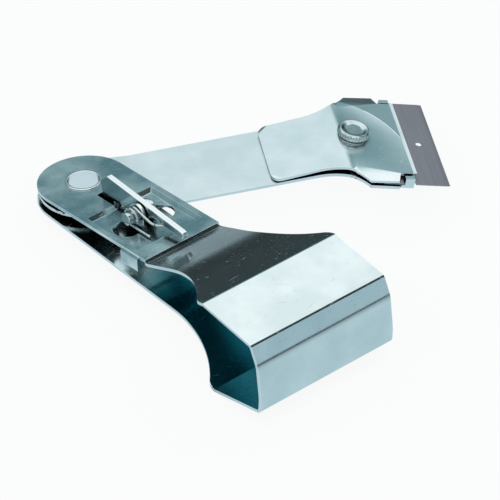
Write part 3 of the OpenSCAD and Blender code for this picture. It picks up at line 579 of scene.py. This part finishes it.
def white_floor():
    """Plain pale floor. It shows white to the camera and pale in the metal's first reflection, fading with
    distance, and keeps a soft shadow. Deeper reflections, such as those inside the pocket, see it as it
    is lit."""
    bpy.ops.mesh.primitive_circle_add(vertices=FLOOR_CORNERS, radius=FLOOR_R, fill_type="NGON",
                                      location=(VIEW_TARGET.x, VIEW_TARGET.y, FLOOR_Z))
    floor = bpy.context.object
    floor.name = "floor"
    material, tree, shader, place = new_material("white_studio_floor")
    grain = add_node(tree, "ShaderNodeTexNoise", {"Vector": place, "Scale": per(3), "Detail": 3.0})
    colour = add_node(tree, "ShaderNodeMix", {"Factor": grain.outputs["Fac"], "A": paint("#f7f8f8"),
                                              "B": paint("#f1f3f3")}, data_type="RGBA")
    tree.links.new(colour.outputs["Result"], shader.inputs["Base Color"])
    shader.inputs["Roughness"].default_value = 0.8
    path = add_node(tree, "ShaderNodeLightPath").outputs
    first = add_node(tree, "ShaderNodeMath", {0: path["Ray Depth"], 1: FIRST_MIRROR}, operation="LESS_THAN")
    mirrored = add_node(tree, "ShaderNodeMath", {0: path["Is Glossy Ray"], 1: first.outputs["Value"]},
                        operation="MULTIPLY")
    away = add_node(tree, "ShaderNodeVectorMath", {0: place}, operation="LENGTH").outputs["Value"]
    front = add_node(tree, "ShaderNodeVectorMath", {0: place, 1: -FADE_LEAN * towards(FADE_AZIMUTH, 0)},
                     operation="DOT_PRODUCT").outputs["Value"]
    gone = add_node(tree, "ShaderNodeMath", {0: away, 1: front}).outputs["Value"]
    fading = add_node(tree, "ShaderNodeMapRange", {"Value": gone, "From Min": FADE_START,
                                                   "From Max": FADE_END, "To Min": FADE_NEAR,
                                                   "To Max": FADE_FAR})
    through = add_node(tree, "ShaderNodeMath", {0: path["Is Camera Ray"], 1: path["Is Transmission Ray"]},
                       operation="MAXIMUM").outputs["Value"]
    bright = add_node(tree, "ShaderNodeMath", {0: through, 1: FLOOR_WHITE}, operation="MULTIPLY")
    white = add_node(tree, "ShaderNodeMath", {0: mirrored.outputs["Value"], 1: bright.outputs["Value"]},
                     operation="MAXIMUM")
    tint = add_node(tree, "ShaderNodeMix", {"Factor": through, "A": paint(FLOOR_TINT), "B": paint("#ffffff")},
                    data_type="RGBA")
    level = add_node(tree, "ShaderNodeMath", {0: fading.outputs["Result"], 1: through}, operation="MAXIMUM")
    glow = add_node(tree, "ShaderNodeEmission", {"Color": tint.outputs["Result"],
                                                 "Strength": level.outputs["Value"]})
    mixed = add_node(tree, "ShaderNodeMixShader", {"Fac": white.outputs["Value"], 1: shader.outputs["BSDF"],
                                                   2: glow.outputs["Emission"]})
    tree.links.new(mixed.outputs["Shader"], tree.nodes["Material Output"].inputs["Surface"])
    floor.data.materials.append(material)


def studio_light():
    """Soft tent: white overhead, shading through blue grey to a dark band low down behind the tool, and pale
    all the way down in front of it. A dark screen stands behind the front edge and a pale card low beside it.
    The camera sees white."""
    world = bpy.data.worlds.new("studio")
    bpy.context.scene.world = world
    world.use_nodes = True
    tree = world.node_tree
    way = add_node(tree, "ShaderNodeTexCoord").outputs["Generated"]
    rise = add_node(tree, "ShaderNodeSeparateXYZ", {"Vector": way}).outputs["Z"]
    tent = add_node(tree, "ShaderNodeValToRGB", {"Fac": rise})
    stops = tent.color_ramp.elements
    stops[0].position, stops[1].position = 0.0, 1.0
    for place in sorted(TENT)[1:-1]:
        stops.new(place)
    for stop in stops:
        stop.color = paint(TENT[min(TENT, key=lambda place: abs(place - stop.position))])
    behind = add_node(tree, "ShaderNodeVectorMath", {0: way, 1: towards(VIEW_AZIMUTH + 180, 0)},
                      operation="DOT_PRODUCT")
    in_front = add_node(tree, "ShaderNodeMapRange", {"Value": behind.outputs["Value"],
                                                     "From Min": FRONT_START, "From Max": FRONT_FULL})
    shown = add_node(tree, "ShaderNodeMix", {"Factor": in_front.outputs["Result"], "A": tent.outputs["Color"],
                                             "B": paint(TENT_FRONT)},
                     data_type="RGBA", blend_type="LIGHTEN").outputs["Result"]
    for azimuth, elevation, outer, inner, foot, colour in (SCREEN, CARD):
        facing = add_node(tree, "ShaderNodeVectorMath", {0: way, 1: towards(azimuth, elevation)},
                          operation="DOT_PRODUCT")
        share = add_node(tree, "ShaderNodeMapRange", {
            "Value": facing.outputs["Value"], "From Min": math.cos(math.radians(outer)),
            "From Max": math.cos(math.radians(inner))})
        above = add_node(tree, "ShaderNodeMapRange", {"Value": rise, "From Min": foot,
                                                      "From Max": foot + FOOT_EASE})
        part = add_node(tree, "ShaderNodeMath", {0: share.outputs["Result"], 1: above.outputs["Result"]},
                        operation="MULTIPLY")
        shown = add_node(tree, "ShaderNodeMix", {"Factor": part.outputs["Value"], "A": shown,
                                                 "B": paint(colour)}, data_type="RGBA").outputs["Result"]
    path = add_node(tree, "ShaderNodeLightPath").outputs
    seen = add_node(tree, "ShaderNodeMath", {0: path["Is Camera Ray"], 1: path["Is Transmission Ray"]},
                    operation="MAXIMUM")
    final = add_node(tree, "ShaderNodeMix", {"Factor": seen.outputs["Value"], "A": shown,
                                             "B": paint("#ffffff")}, data_type="RGBA")
    background = tree.nodes["Background"]
    background.inputs["Strength"].default_value = TENT_STRENGTH
    tree.links.new(final.outputs["Result"], background.inputs["Color"])
    lamp = bpy.data.lights.new("overhead_soft_box", "AREA")
    lamp.size = LAMP_SIZE
    lamp.energy = LAMP_POWER
    holder = bpy.data.objects.new("overhead_soft_box", lamp)
    holder.location = VIEW_TARGET + LAMP_OFF
    holder.rotation_euler = (VIEW_TARGET - holder.location).to_track_quat("-Z", "Y").to_euler()
    bpy.context.scene.collection.objects.link(holder)


def photograph_camera():
    """Camera at the photograph's angle."""
    back = towards(VIEW_AZIMUTH, VIEW_ELEVATION)
    lens = bpy.data.cameras.new("photograph")
    lens.lens = VIEW_LENS
    lens.clip_end = VIEW_END
    camera = bpy.data.objects.new("photograph", lens)
    camera.location = VIEW_TARGET + VIEW_DISTANCE * back
    camera.rotation_euler = (-back).to_track_quat("-Z", "Y").to_euler()
    bpy.context.scene.collection.objects.link(camera)
    bpy.context.scene.camera = camera


photograph_camera()
latch_nickel, arm_zinc = dress_pieces()
latch_spring_wire(latch_nickel)
clamp_head_pressing(arm_zinc)
white_floor()
studio_light()
bpy.context.scene.view_settings.view_transform = "Standard"
